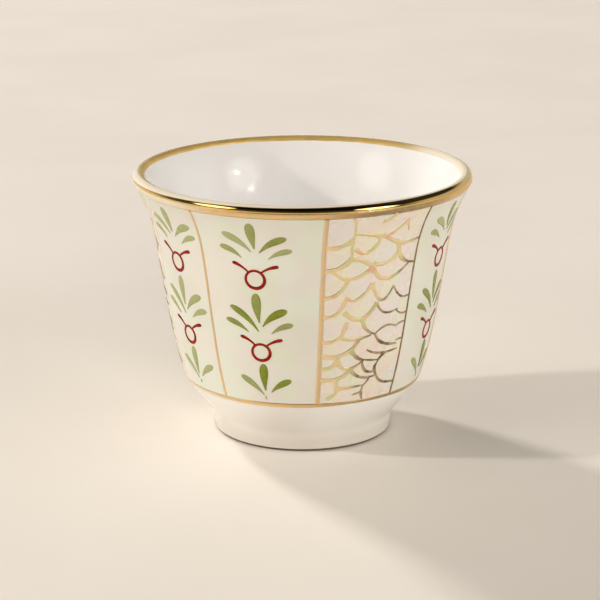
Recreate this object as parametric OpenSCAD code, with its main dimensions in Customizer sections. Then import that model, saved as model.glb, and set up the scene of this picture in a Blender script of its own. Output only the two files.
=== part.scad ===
// Small handleless coffee cup of white porcelain, with a gilded lip and painted panels.
// Millimetres, +Z up, origin at the centre of the foot's underside.

/* [Cup] */
// Height from the table to the top of the glazed lip
cup_h = 51.5; // [50:0.5:62]
// Diameter across the glazed lip
lip_d = 65; // [61:0.5:78]
// Thickness of the lip, glaze included
lip_t = 2.2; // [1.6:0.1:2.8]
// Lean of the flared lip from upright, in degrees
lip_lean = 33; // [22:1:40]
// Height of the flare, from its start to the middle of the lip
flare_h = 10.2; // [8:0.2:12]
// Diameter where the flare begins
neck_d = 57.2; // [54:0.2:60]
// Lean of the side where the flare begins, in degrees
neck_lean = 10.7; // [6:0.1:14]
// Height of the rounded shoulder above the table
shoulder_h = 11.6; // [10.6:0.2:14]
// Diameter at the shoulder
shoulder_d = 46; // [44:0.2:50]
// Lean of the side just above the shoulder, in degrees
shoulder_lean = 18; // [12:1:24]

/* [Foot] */
// Height of the foot's upright wall
foot_h = 3.3; // [2.8:0.1:4.4]
// Diameter of the foot just above its rounded edge
foot_d = 34.2; // [33.2:0.1:35]
// Diameter where the foot meets the body
foot_top_d = 35.1; // [34.6:0.1:36.2]
// Height at which the foot's rounded edge begins
foot_edge_h = 0.5; // [0.3:0.1:0.6]
// Width of the ring that the cup stands on, with its rounded edges
foot_ring_w = 3.1; // [2.6:0.1:4]
// Depth of the hollow under the foot
well_h = 3.2; // [2.6:0.1:3.6]
// Radius of the corner inside that hollow
well_corner_r = 1.2; // [0.6:0.1:1.5]
// Height at which the glaze ends above the bare foot ring
bare_h = 0.7; // [0.7:0.1:1.5]

/* [Inside] */
// Height of the inside's lowest point above the table
floor_h = 7.2; // [6.4:0.1:8]
// Thickness of the wall where the flare begins, glaze included
neck_t = 2.2; // [1.8:0.1:3]
// Thickness of the wall at the bowl's turn, glaze included
turn_t = 2.6; // [2.2:0.1:3.4]
// Height of the bowl's turn above the table
turn_h = 17; // [15:0.5:20]

/* [Coats] */
// Thickness of the clear glaze
glaze_t = 0.2; // [0.15:0.01:0.3]
// Thickness of the pearl ground under the painting
ground_t = 0.12; // [0.08:0.01:0.2]
// Thickness of the painted enamel and of the printed gold
paint_t = 0.12; // [0.08:0.01:0.2]
// Thickness of the burnished gold on the lip
gilding_t = 0.1; // [0.08:0.01:0.2]
// Width of the gilding down the inside of the lip
gilding_in_w = 0.35; // [0.05:0.05:1.2]

/* [Gold lines] */
// Distance from the lip's top down to the upper gold line
upper_line_drop = 1.25; // [1.1:0.05:2]
// Height of the upper gold line
upper_line_w = 1.1; // [0.7:0.05:1.6]
// Height of the lower gold line's middle above the table
lower_line_h = 11.25; // [10.6:0.05:13]
// Height of the lower gold line
lower_line_w = 0.85; // [0.5:0.05:1.4]
// Width of the thin upright lines beside the narrow panels
thin_line_w = 0.55; // [0.3:0.05:0.9]
// Width of the broad upright line between a wide panel and a scale panel
broad_line_w = 1; // [0.4:0.05:1.2]
// Width of the bare strip between two grounds, hidden under an upright line
seam_w = 0.14; // [0.08:0.01:0.2]

/* [Panels] */
// Angle of the first scale panel's left edge from the front, in degrees
first_edge_angle = 7.3; // [-20:0.1:20]
// Angle that a scale panel takes, in degrees
scale_panel_angle = 39.1; // [36:0.1:42]
// Angle that a narrow flower panel takes, in degrees
narrow_panel_angle = 34.3; // [32:0.1:37]
// Angle by which the top of a scale panel's left line leads its foot
left_tilt = 1.2; // [-2:0.1:2]
// Angle by which the top of its right line leads its foot
right_tilt = 2.1; // [-3:0.1:3]
// Place of a narrow panel's stem across it from its left edge, as a share of its angle
narrow_stem_share = 0.556; // [0.5:0.002:0.57]
// Place of a wide panel's stem across it from its left edge, as a share of its angle
wide_stem_share = 0.466; // [0.44:0.002:0.56]

/* [Sprays] */
// Length of a spray's middle leaf, as a share of the painted height
leaf_l_share = 0.144; // [0.12:0.002:0.15]
// Width of a spray's middle leaf, as a share of its length
leaf_w_share = 0.324; // [0.2:0.004:0.36]
// Reach of a spray's side leaves, as a share of the room beside its stem
spray_reach_share = 0.9; // [0.7:0.01:0.92]
// Diameter across a red ring, as a share of the painted height
ring_d_share = 0.11; // [0.09:0.002:0.114]
// Width of the red line
red_line_w = 0.54; // [0.3:0.02:0.7]
// Reach of a ring's horns from its middle, as a share of the ring's diameter
horn_reach_share = 1.1; // [1:0.02:1.26]
// Width of the drop that ends a horn
horn_drop_w = 0.8; // [0.6:0.05:1]

/* [Scales] */
// Width of the gold strokes round the scales
stroke_w = 0.5; // [0.25:0.01:0.55]

/* [Hidden] */
// Smoothness of the preview
$fn = 160;

// Times that a scale panel, a narrow and a wide flower panel repeat round the cup
repeats = 3;
// Flower panels round the cup
flowers = 2 * repeats;
// Panels, and upright lines, round the cup
panels = 3 * repeats;

// Names of a row of like pieces
function named(name, count) = [for (i = [1 : count]) str(name, "_", i)];

// Curves of the wall

// Direction that leans outward from upright, and the normal out of a wall with a direction
function lean_dir(lean) = [sin(lean), cos(lean)];
function out_dir(dir) = [dir[1], -dir[0]];
function unit(v) = v / norm(v);
function backwards(list) = [for (i = [len(list) - 1 : -1 : 0]) list[i]];
function all_but_first(list) = [for (i = [1 : len(list) - 1]) list[i]];

// Point and direction at a share t of a cubic curve
function cubic(c, t) =
    pow(1 - t, 3) * c[0] + 3 * t * pow(1 - t, 2) * c[1] + 3 * t * t * (1 - t) * c[2] + pow(t, 3) * c[3];
function cubic_dir(c, t) =
    unit(pow(1 - t, 2) * (c[1] - c[0]) + 2 * t * (1 - t) * (c[2] - c[1]) + t * t * (c[3] - c[2]));

// Curve between two points with their leans, each handle a share of the chord
function bend(a, lean_a, b, lean_b, share_a, share_b) =
    let (chord = norm(b - a))
    [a, a + share_a * chord * lean_dir(lean_a), b - share_b * chord * lean_dir(lean_b), b];

// Points along a curve, pushed out of the wall; the first point is left to the curve before
function pushed(c, steps, out) =
    [for (i = [1 : steps]) cubic(c, i / steps) + out * out_dir(cubic_dir(c, i / steps))];

// Points along an arc
function arc(mid, r, from, to, steps) =
    [for (i = [0 : steps]) let (at = from + (to - from) * i / steps) mid + r * [cos(at), sin(at)]];

// Steps along each curve
edge_steps = 5;
shoulder_steps = 9;
side_steps = 6;
flare_steps = 8;
lip_steps = 6;
bowl_steps = 14;

// Handles of the curves: a gentle curve, the foot's outer edge, the turn out of the foot,
// the turn at the shoulder, the bowl
gentle_share = 1 / 3;
foot_edge_share = 0.4;
foot_turn_share = 0.2;
shoulder_turn_share = 0.43;
bowl_side_share = 0.4;
bowl_floor_share = 0.6;

// Outside of the glazed wall, from the foot up to the lip
foot_low = [foot_d / 2, foot_edge_h];
foot_top = [foot_top_d / 2, foot_h];
foot_lean = atan((foot_top[0] - foot_low[0]) / (foot_top[1] - foot_low[1]));
shoulder = [shoulder_d / 2, shoulder_h];
neck = [neck_d / 2, cup_h - lip_t / 2 - flare_h];
lip_mid = [lip_d / 2 - lip_t / 2, cup_h - lip_t / 2];
lip_out = lip_mid + lip_t / 2 * out_dir(lean_dir(lip_lean));
lip_in = lip_mid - lip_t / 2 * out_dir(lean_dir(lip_lean));
shoulder_curve = bend(foot_top, foot_lean, shoulder, shoulder_lean, foot_turn_share, shoulder_turn_share);
side_curve = bend(shoulder, shoulder_lean, neck, neck_lean, gentle_share, gentle_share);
flare_curve = bend(neck, neck_lean, lip_out, lip_lean, gentle_share, gentle_share);

function outside(out) = concat(
    [foot_low + out * out_dir(lean_dir(foot_lean))],
    [foot_top + out * out_dir(lean_dir(foot_lean))],
    pushed(shoulder_curve, shoulder_steps, out),
    pushed(side_curve, side_steps, out),
    pushed(flare_curve, flare_steps, out)
);
// The lip's rounded top, in an outer and an inner half
function lip_outer_half(out) = arc(lip_mid, lip_t / 2 + out, -lip_lean, 90 - lip_lean, lip_steps);
function lip_inner_half(out) = arc(lip_mid, lip_t / 2 + out, 90 - lip_lean, 180 - lip_lean, lip_steps);
// Outer half of the wall's section, and the radius of its side at a height
function outer_wall(out) = concat(outside(out), all_but_first(lip_outer_half(out)));
side_table = [for (p = outside(0)) [p[1], p[0]]];
function side(h) = lookup(h, side_table);

// Inside of the glazed wall, from the lip down to the middle of the floor
inner_neck = neck - neck_t * out_dir(lean_dir(neck_lean));
inner_turn = [side(turn_h) - turn_t, turn_h];
inner_flare_curve = bend(inner_neck, neck_lean, lip_in, lip_lean, gentle_share, gentle_share);
inner_side_curve = bend(inner_turn, shoulder_lean, inner_neck, neck_lean, gentle_share, gentle_share);
bowl_drop = bowl_side_share * norm([inner_turn[0], turn_h - floor_h]);
bowl_curve = [
    [0, floor_h],
    [bowl_floor_share * inner_turn[0], floor_h],
    inner_turn - bowl_drop * lean_dir(shoulder_lean),
    inner_turn
];
// Pushing out of the wall here is towards the cup's axis
function inside(out) = backwards(concat(
    [[0, floor_h + out]],
    pushed(bowl_curve, bowl_steps, -out),
    pushed(inner_side_curve, side_steps, -out),
    pushed(inner_flare_curve, flare_steps, -out)
));
function inner_wall(out) = concat(lip_inner_half(out), all_but_first(inside(out)));

// Hollow under the foot, glazed, from its middle out and down to the bare ring
well_r = foot_d / 2 - foot_ring_w;
well_corner_mid = [well_r - well_corner_r, well_h - well_corner_r];
function well(out) = concat(
    [[0, well_h - out]],
    arc(well_corner_mid, well_corner_r - out, 90, 0, edge_steps)
);

// Bare ring that the cup stands on
ring_in_mid = [well_r + glaze_t + foot_edge_h, foot_edge_h];
ring_out = foot_low - glaze_t * out_dir(lean_dir(foot_lean));
ring_flat = [ring_out[0] - foot_edge_h, 0];
ring_out_curve = bend(ring_flat, 90, ring_out, foot_lean, foot_edge_share, foot_edge_share);
bare_ring = concat(
    arc(ring_in_mid, foot_edge_h, 180, 270, edge_steps),
    [ring_flat],
    pushed(ring_out_curve, edge_steps, 0)
);

// Heights of the coats
reach = lip_d;
lower_line_low = lower_line_h - lower_line_w / 2;
lower_line_top = lower_line_h + lower_line_w / 2;
upper_line_top = cup_h - upper_line_drop;
upper_line_low = upper_line_top - upper_line_w;
painted = [lower_line_top, upper_line_low];
paint_out = ground_t + paint_t;

// Section between two coats of the outer wall, from one height to another
module coat_section(from_out, to_out, low, top) {
    intersection() {
        polygon(concat(outer_wall(to_out), backwards(outer_wall(from_out))));
        translate([0, low]) square([reach, top - low]);
    }
}

// Coat over part of the turn, from one angle to another, measured from the front
module coat(from_out, to_out, heights, from, to) {
    rotate([0, 0, from - 90])
        rotate_extrude(angle = to - from) coat_section(from_out, to_out, heights[0], heights[1]);
}

// Flat outlines, drawn as seen from straight in front of an angle, carried through the wall there
module carried(at) {
    rotate([0, 0, at]) rotate([90, 0, 0]) linear_extrude(height = reach) children();
}

// Where a point of the side falls in such an outline, from its angle or from its distance round the wall
function at_angle(angle, h) = [side(h) * sin(angle), h];
function at_distance(p) = at_angle(p[0] / side(p[1]) * 180 / PI, p[1]);

// Panels and upright lines

wide_panel_angle = 360 / repeats - scale_panel_angle - narrow_panel_angle;
// Angle of each upright line at mid height: left of a scale, a narrow and a wide panel in turn
from_first_edge = [0, scale_panel_angle, scale_panel_angle + narrow_panel_angle];
function edge(i) =
    first_edge_angle + floor((i - 1) / 3) * 360 / repeats + from_first_edge[(i - 1) % 3];
// Angle by which the top of each of those lines leads its foot
edge_tilts = [left_tilt, right_tilt, -left_tilt];
function tilt(i) = edge_tilts[(i - 1) % 3];
edge_widths = [broad_line_w, thin_line_w, thin_line_w];
function line_w(i) = edge_widths[(i - 1) % 3];
// Stations up a line
line_steps = 6;
// Height by which an outline runs past the painted heights
overrun_h = paint_t;
// Angle by which a coat is cut wider than the middles of the lines beside it
spare_angle = 4;
// Angle from a stem that a spray stays within: the room between a narrow panel's stem and its right line
spray_angle = narrow_panel_angle * (1 - narrow_stem_share);
painted_span = painted[1] - painted[0];
function painted_h(share) = painted[0] + share * painted_span;
function tilted(i, share) = edge(i) + tilt(i) * (share - 1 / 2);

// Points up one side of a line, seen from an angle, shifted sideways
function line_side(i, seen_from, shift) =
    [for (k = [0 : line_steps])
        at_angle(tilted(i, k / line_steps) - seen_from, painted_h(k / line_steps)) + [shift, 0]];

// Carries the first and last points past the painted heights
function overrun(points) = let (last = len(points) - 1) concat(
    [points[0] - [0, overrun_h]],
    [for (k = [1 : last - 1]) points[k]],
    [points[last] + [0, overrun_h]]
);

module line_blade(i) {
    carried(edge(i)) polygon(concat(
        overrun(line_side(i, edge(i), line_w(i) / 2)),
        backwards(overrun(line_side(i, edge(i), -line_w(i) / 2)))
    ));
}

module upright_line(i) {
    color("peru") intersection() {
        coat(ground_t, paint_out, painted, edge(i) - spare_angle, edge(i) + spare_angle);
        line_blade(i);
    }
}

// Ground between line i and the next
module ground(i) {
    middle = (edge(i) + edge(i + 1)) / 2;
    intersection() {
        coat(0, ground_t, painted, edge(i) - spare_angle, edge(i + 1) + spare_angle);
        carried(middle) polygon(concat(
            overrun(line_side(i + 1, middle, -seam_w / 2)),
            backwards(overrun(line_side(i, middle, seam_w / 2)))
        ));
    }
}

// Painted sprays of leaves

// Stations along a brush mark, closer together towards its tip
mark_steps = 8;
function mark_at(k) = sin(90 * k / mark_steps);

// Half width of a leaf as a share of its full one: it swells from a point and rounds off at the tip
leaf_swell = 1.3;
leaf_round = 1 / 2;
leaf_belly = leaf_swell / (leaf_swell + leaf_round);
function leaf_bulge(t) = pow(t, leaf_swell) * pow(1 - t, leaf_round);
function leaf_share(t) = leaf_bulge(t) / leaf_bulge(leaf_belly);

// The same of a ring's horn, which starts thin and ends in a drop, and of a stroke of the scales
horn_root_share = 0.4;
horn_round = 6;
function horn_share(t) = (horn_root_share + (1 - horn_root_share) * t) * sqrt(1 - pow(t, horn_round));
stroke_end_share = 0.6;
function stroke_share(t) = stroke_end_share + (1 - stroke_end_share) * sin(180 * t);

// Middle of a mark that rises from its chord by a share of its length
function spine(root, tip, rise_share, t) =
    let (along = tip - root, side_sign = along[0] < 0 ? -1 : 1)
    root + t * along + 4 * t * (1 - t) * rise_share * side_sign * [-along[1], along[0]];

// Outline of a mark from its middle points and its half width at each of them
function swept(middle, halves) =
    let (
        last = len(middle) - 1,
        along = [for (k = [0 : last]) unit(middle[min(k + 1, last)] - middle[max(k - 1, 0)])]
    )
    concat(
        [for (k = [0 : last]) middle[k] + halves[k] * [along[k][1], -along[k][0]]],
        [for (k = [last : -1 : 0]) if (halves[k] > 0) middle[k] - halves[k] * [along[k][1], -along[k][0]]]
    );

// Brush mark from its root to its tip, as it lies on the flattened wall
module mark(root, tip, rise_share, halves) {
    outline = swept([for (k = [0 : mark_steps]) spine(root, tip, rise_share, mark_at(k))], halves);
    polygon([for (p = outline) at_distance(p)]);
}
function leaf_halves(width) = [for (k = [0 : mark_steps]) width / 2 * leaf_share(mark_at(k))];
function horn_halves(width) = [for (k = [0 : mark_steps]) width / 2 * horn_share(mark_at(k))];

// Sizes of the middle leaf, and of a ring with its horns
leaf_l = leaf_l_share * painted_span;
leaf_w = leaf_w_share * leaf_l;
ring_d = ring_d_share * painted_span;
horn_reach = horn_reach_share * ring_d;

// Leaves of a spray: root across and up, tip across and up, rise, width.
// Across is a share of the spray's reach, up of the middle leaf's length, width of that leaf's width.
five_leaf_shares = [
    [0.02, 0.14, -0.05, 1.08, 0, 1],
    [-0.1, 0.04, -0.88, 0.6, 0.1, 0.72],
    [0.13, 0, 0.9, 0.56, 0.1, 0.74],
    [-0.36, -0.24, -1, 0.08, 0.12, 0.56],
    [0.37, -0.24, 1.02, 0.07, 0.12, 0.6]
];
three_leaf_shares = [
    [0.06, 0.1, 0.06, 1.14, 0, 0.95],
    [-0.03, -0.04, -0.62, 0.59, 0.08, 0.66],
    [0.22, 0.08, 0.78, 0.54, 0.08, 0.66],
    [0.06, -0.28, 0.04, -0.14, 0, 0.2]
];
// Sprays and rings up a stem: a spray's root as a share of the painted height, with its reach as a
// share of the full one, and a ring's middle as a share of the painted height
upper_spray_shares = [0.817, 1];
middle_spray_shares = [0.422, 1.015];
lower_spray_shares = [0.054, 1.177];
upper_ring_share = 0.668;
lower_ring_share = 0.281;

module spray(place_shares, leaf_shares) {
    root_h = painted_h(place_shares[0]);
    across = place_shares[1] * spray_reach_share * spray_angle * PI / 180 * side(root_h);
    for (s = leaf_shares) {
        root = [s[0] * across, root_h + s[1] * leaf_l];
        tip = [s[2] * across, root_h + s[3] * leaf_l];
        mark(root, tip, s[4], leaf_halves(s[5] * leaf_w));
    }
}

// Angle of a flower panel's stem; odd flower panels are narrow, even ones wide
function stem_angle(i) =
    let (
        narrow = i % 2 == 1,
        narrow_line = 3 * floor((i - 1) / 2) + 2,
        in_narrow = narrow_stem_share * narrow_panel_angle,
        in_wide = wide_stem_share * wide_panel_angle
    )
    narrow ? edge(narrow_line) + in_narrow : edge(narrow_line + 1) + in_wide;

// Paint on the wall round a stem
module painted_at(i) {
    intersection() {
        coat(ground_t, paint_out, painted, stem_angle(i) - spray_angle, stem_angle(i) + spray_angle);
        carried(stem_angle(i)) children();
    }
}

module leaf_spray(i) {
    color("olivedrab") painted_at(i) {
        spray(upper_spray_shares, five_leaf_shares);
        spray(middle_spray_shares, five_leaf_shares);
        spray(lower_spray_shares, three_leaf_shares);
    }
}

// Horn of a ring: root across and up from its middle in shares of its radius,
// tip across in shares of the horn's reach and up in shares of the ring's radius
horn_shares = [
    [-0.74, 0.74, -0.97, 1.45, 0.06],
    [0.7, 0.78, 1, 1.36, 0.06]
];

module ring_with_horns(mid_h) {
    translate([0, mid_h]) difference() {
        circle(d = ring_d);
        circle(d = ring_d - 2 * red_line_w);
    }
    for (s = horn_shares) {
        root = [s[0] * ring_d / 2, mid_h + s[1] * ring_d / 2];
        tip = [s[2] * horn_reach, mid_h + s[3] * ring_d / 2];
        mark(root, tip, s[4], horn_halves(horn_drop_w));
    }
}

module red_rings(i) {
    color("firebrick") painted_at(i) {
        ring_with_horns(painted_h(upper_ring_share));
        ring_with_horns(painted_h(lower_ring_share));
    }
}

// Gold strokes round the scales: start, middle and end, each across and up, then weight.
// Across is a share of the panel's width, up a share of the painted height, weight of the stroke's width.
stroke_shares = [
    [0, 0.85, 0.125, 0.84, 0.255, 0.88, 1],
    [0.255, 0.88, 0.255, 0.83, 0.275, 0.775, 0.8],
    [0.26, 0.885, 0.26, 0.945, 0.23, 1, 0.6],
    [0.265, 0.91, 0.385, 0.9, 0.51, 0.885, 0.7],
    [0.51, 0.885, 0.515, 0.85, 0.475, 0.83, 0.9],
    [0.29, 0.825, 0.385, 0.8, 0.48, 0.825, 0.8],
    [0.505, 0.89, 0.63, 0.89, 0.78, 0.955, 0.6],
    [0.545, 0.89, 0.62, 0.865, 0.735, 0.835, 0.9],
    [0.735, 0.835, 0.835, 0.825, 1, 0.84, 0.8],
    [0.51, 0.97, 0.565, 0.975, 0.62, 1.005, 0.8],
    [0.77, 0.96, 0.795, 0.925, 0.83, 0.895, 0.6],
    [0.745, 0.835, 0.815, 0.745, 1, 0.71, 1.2],
    [0.5, 0.74, 0.635, 0.735, 0.76, 0.78, 0.9],
    [0.275, 0.775, 0.4, 0.755, 0.505, 0.715, 1.1],
    [0, 0.72, 0.145, 0.73, 0.27, 0.78, 1.1],
    [0.09, 0.72, 0.27, 0.67, 0.495, 0.72, 0.9],
    [0.5, 0.715, 0.66, 0.65, 0.92, 0.715, 1],
    [0.505, 0.74, 0.49, 0.72, 0.505, 0.69, 0.9],
    [0, 0.575, 0.15, 0.595, 0.25, 0.67, 0.9],
    [0.235, 0.575, 0.365, 0.56, 0.505, 0.635, 0.8],
    [0.505, 0.635, 0.63, 0.54, 0.76, 0.605, 0.9],
    [0.76, 0.605, 0.875, 0.54, 1, 0.54, 0.9],
    [0, 0.48, 0.14, 0.485, 0.24, 0.565, 0.9],
    [0.23, 0.495, 0.42, 0.45, 0.58, 0.53, 1],
    [0.58, 0.53, 0.685, 0.47, 0.855, 0.475, 0.9],
    [0.84, 0.47, 0.92, 0.445, 1, 0.45, 0.8],
    [0, 0.345, 0.17, 0.35, 0.27, 0.44, 0.9],
    [0.2, 0.365, 0.37, 0.345, 0.555, 0.36, 1],
    [0.44, 0.45, 0.485, 0.395, 0.605, 0.36, 1],
    [0.605, 0.36, 0.73, 0.395, 0.875, 0.38, 0.9],
    [0.875, 0.385, 0.935, 0.395, 1, 0.395, 0.8],
    [0.605, 0.36, 0.71, 0.305, 0.91, 0.285, 1.2],
    [0.9, 0.3, 0.955, 0.305, 1, 0.305, 0.8],
    [0, 0.27, 0.245, 0.265, 0.43, 0.345, 1],
    [0.34, 0.285, 0.415, 0.245, 0.505, 0.225, 1.3],
    [0.525, 0.28, 0.7, 0.25, 0.94, 0.255, 1],
    [0.2, 0.27, 0.195, 0.245, 0.21, 0.215, 1.1],
    [0, 0.2, 0.125, 0.2, 0.195, 0.25, 1],
    [0.21, 0.215, 0.33, 0.185, 0.485, 0.22, 0.9],
    [0.485, 0.23, 0.58, 0.22, 0.68, 0.215, 0.8],
    [0.485, 0.225, 0.54, 0.165, 0.67, 0.155, 1.2],
    [0.835, 0.25, 0.735, 0.235, 0.675, 0.195, 1],
    [0.675, 0.195, 0.66, 0.165, 0.7, 0.13, 1.3],
    [0.7, 0.13, 0.8, 0.085, 0.995, 0.07, 1.2],
    [0.35, 0.18, 0.5, 0.13, 0.7, 0.13, 1.1],
    [0, 0.135, 0.215, 0.135, 0.35, 0.18, 1],
    [0.21, 0.135, 0.205, 0.1, 0.225, 0.07, 1],
    [0.225, 0.075, 0.385, 0.08, 0.555, 0.085, 0.9],
    [0.55, 0.085, 0.59, 0.105, 0.61, 0.125, 0.9],
    [0.22, 0.07, 0.185, 0.045, 0.11, 0.02, 0.9],
    [0.54, 0.085, 0.535, 0.04, 0.56, 0.005, 1.1],
    [0.42, 0.035, 0.48, 0.04, 0.535, 0.05, 0.8]
];
stroke_steps = 6;

// Middle of a stroke that passes through three places
function through(s, t) =
    let (a = [s[0], s[1]], m = [s[2], s[3]], b = [s[4], s[5]], pull = 2 * m - (a + b) / 2)
    pow(1 - t, 2) * a + 2 * t * (1 - t) * pull + t * t * b;

// A place on the panel right of line i, across and up in shares, as seen from an angle
function on_panel(i, p, seen_from) =
    let (left = tilted(i, p[1]), right = tilted(i + 1, p[1]))
    at_angle(left + p[0] * (right - left) - seen_from, painted_h(p[1]));

module scale_strokes(i) {
    middle = (edge(i) + edge(i + 1)) / 2;
    for (s = stroke_shares)
        polygon(swept(
            [for (k = [0 : stroke_steps]) on_panel(i, through(s, k / stroke_steps), middle)],
            [for (k = [0 : stroke_steps]) stroke_w / 2 * s[6] * stroke_share(k / stroke_steps)]
        ));
}

module scale_net(i) {
    line = 3 * i - 2;
    middle = (edge(line) + edge(line + 1)) / 2;
    color("goldenrod") difference() {
        intersection() {
            coat(ground_t, paint_out, painted, edge(line) - spare_angle, edge(line + 1) + spare_angle);
            carried(middle) scale_strokes(line);
        }
        line_blade(line);
        line_blade(line + 1);
    }
}

module scale_ground(i) {
    color("mistyrose") ground(3 * i - 2);
}

module flower_ground(i) {
    color("honeydew") ground(i % 2 == 1 ? 3 * (i + 1) / 2 - 1 : 3 * i / 2);
}

// Body, glaze and rings of gold

module porcelain_body() {
    color("white") rotate_extrude() polygon(concat(
        outer_wall(-glaze_t),
        all_but_first(inner_wall(-glaze_t)),
        well(-glaze_t),
        bare_ring
    ));
}

// The glaze stops above the bare ring
module above(h) {
    intersection() {
        children();
        translate([0, h]) square([reach, cup_h]);
    }
}

module outer_glaze() {
    color("ivory") rotate_extrude() above(bare_h)
        polygon(concat(outer_wall(0), backwards(outer_wall(-glaze_t))));
}

module inner_glaze() {
    color("snow") rotate_extrude() polygon(concat(inner_wall(0), backwards(inner_wall(-glaze_t))));
}

module well_glaze() {
    low = [well_r, bare_h];
    low_back = [well_r + glaze_t, bare_h];
    color("ivory") rotate_extrude() polygon(concat(well(0), [low, low_back], backwards(well(-glaze_t))));
}

module lip_gilding() {
    color("gold") rotate_extrude() {
        above(upper_line_top)
            polygon(concat(outer_wall(gilding_t), backwards(outer_wall(0))));
        above(lip_in[1] - gilding_in_w * cos(lip_lean))
            polygon(concat(inner_wall(gilding_t), backwards(inner_wall(0))));
    }
}

module upper_gold_line() {
    color("sandybrown") rotate_extrude() coat_section(0, paint_out, upper_line_low, upper_line_top);
}

module lower_gold_line() {
    color("sandybrown") rotate_extrude() coat_section(0, paint_out, lower_line_low, lower_line_top);
}

porcelain_body();
outer_glaze();
inner_glaze();
well_glaze();
lip_gilding();
upper_gold_line();
lower_gold_line();
for (i = [1 : repeats]) scale_ground(i);
for (i = [1 : flowers]) flower_ground(i);
for (i = [1 : panels]) upright_line(i);
for (i = [1 : flowers]) leaf_spray(i);
for (i = [1 : flowers]) red_rings(i);
for (i = [1 : repeats]) scale_net(i);
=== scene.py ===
import math
import random
from bisect import bisect_right

import bmesh
import bpy
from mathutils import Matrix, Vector


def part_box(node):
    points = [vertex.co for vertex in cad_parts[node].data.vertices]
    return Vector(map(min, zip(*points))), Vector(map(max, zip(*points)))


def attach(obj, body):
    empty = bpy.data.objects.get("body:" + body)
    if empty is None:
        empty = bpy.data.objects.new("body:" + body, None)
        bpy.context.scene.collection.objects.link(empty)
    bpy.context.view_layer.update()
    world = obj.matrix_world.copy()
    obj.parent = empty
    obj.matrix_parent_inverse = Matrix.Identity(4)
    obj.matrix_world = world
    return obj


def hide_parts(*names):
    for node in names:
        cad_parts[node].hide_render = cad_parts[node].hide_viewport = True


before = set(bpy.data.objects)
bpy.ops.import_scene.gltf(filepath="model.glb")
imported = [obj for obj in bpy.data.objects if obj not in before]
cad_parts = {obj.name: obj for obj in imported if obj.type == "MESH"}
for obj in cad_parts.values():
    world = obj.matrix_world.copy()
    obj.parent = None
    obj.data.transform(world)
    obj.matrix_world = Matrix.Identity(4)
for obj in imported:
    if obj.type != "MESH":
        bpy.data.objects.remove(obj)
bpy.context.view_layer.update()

# Porcelain body
# One piece of hard white porcelain, shaped in a mould and turned: foot ring, bowl, side and flared lip.
# It stays bare and matt only on the ring that it stands on. Glaze covers it everywhere else.

mm = 0.001
lip_t = 2.2 * mm
lip_lean = 33
cup_h = 51.5 * mm
lip_d = 65 * mm
neck_d = 57.2 * mm
neck_lean = 10.7
flare_h = 10.2 * mm
neck_h = cup_h - lip_t / 2 - flare_h
shoulder_d = 46 * mm
shoulder_h = 11.6 * mm
shoulder_lean = 18
foot_d = 34.2 * mm
foot_top_d = 35.1 * mm
foot_h = 3.3 * mm
foot_edge_h = 0.3 * mm
well_r = 14 * mm
well_h = 3.2 * mm
well_corner_r = 1.2 * mm
floor_h = 7.2 * mm
turn_h = 17 * mm
turn_t = 2.6 * mm
neck_t = 2.2 * mm
glaze_t = 0.2 * mm
bare_h = 0.35 * mm
# Curve handles, each a share of the chord or of the radius that it follows
foot_turn_share = 0.2
foot_edge_share = 0.4
shoulder_turn_share = 0.43
bowl_side_share = 0.4
bowl_floor_share = 0.6
# Points nearer than this are one point, and edges that bend by more degrees than this stay sharp
weld_d = 0.0001 * mm
crease_angle = 50


def leaning(lean):
    """Direction up a wall that leans outward by an angle from upright."""
    return Vector((math.sin(math.radians(lean)), math.cos(math.radians(lean))))


def outward(direction):
    """Direction out of a surface that runs in a direction, up the outside and down the inside."""
    return Vector((direction.y, -direction.x))


def straight(start, end, steps):
    """Samples along a line: each is a point of the section and the direction there."""
    return [(start.lerp(end, k / steps), (end - start).normalized()) for k in range(steps + 1)]


def arc(middle, radius, start, end, steps):
    """Samples along an arc from one angle to another."""
    sense = 1 if end > start else -1
    samples = []
    for k in range(steps + 1):
        turn = math.radians(start + (end - start) * k / steps)
        spoke = Vector((math.cos(turn), math.sin(turn)))
        samples.append((middle + radius * spoke, sense * Vector((-spoke.y, spoke.x))))
    return samples


def curve(ends, steps):
    """Samples along a cubic curve given by its two ends and the two handles between them."""
    a, b, c, d = ends
    samples = []
    for k in range(steps + 1):
        t = k / steps
        point = (1 - t) ** 3 * a + 3 * t * (1 - t) ** 2 * b + 3 * t * t * (1 - t) * c + t ** 3 * d
        slope = (1 - t) ** 2 * (b - a) + 2 * t * (1 - t) * (c - b) + t * t * (d - c)
        samples.append((point, slope.normalized()))
    return samples


def bend(low, low_lean, high, high_lean, low_share=1 / 3, high_share=1 / 3, steps=24):
    """Curve up a wall between two points and their leans, each handle a share of the chord."""
    chord = (high - low).length
    low_handle = low + low_share * chord * leaning(low_lean)
    high_handle = high - high_share * chord * leaning(high_lean)
    return curve((low, low_handle, high_handle, high), steps)


def backwards(samples):
    """The same samples run the other way."""
    return [(point, -direction) for point, direction in reversed(samples)]


def joined(*runs):
    """Several runs of samples as one, without the doubled points where they meet."""
    return [sample for k, run in enumerate(runs) for sample in (run[1:] if k else run)]


def pushed(samples, out):
    """Points at a distance out from samples of the wall."""
    return [point + out * outward(direction) for point, direction in samples]


def sampled(samples, marks, mark):
    """Point and direction at a mark, such as a height or a length, where each sample has its own mark."""
    k = min(max(bisect_right(marks, mark), 1), len(marks) - 1)
    t = (mark - marks[k - 1]) / (marks[k] - marks[k - 1])
    (a, direction_a), (b, direction_b) = samples[k - 1], samples[k]
    return a.lerp(b, t), direction_a.lerp(direction_b, t).normalized()


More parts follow.
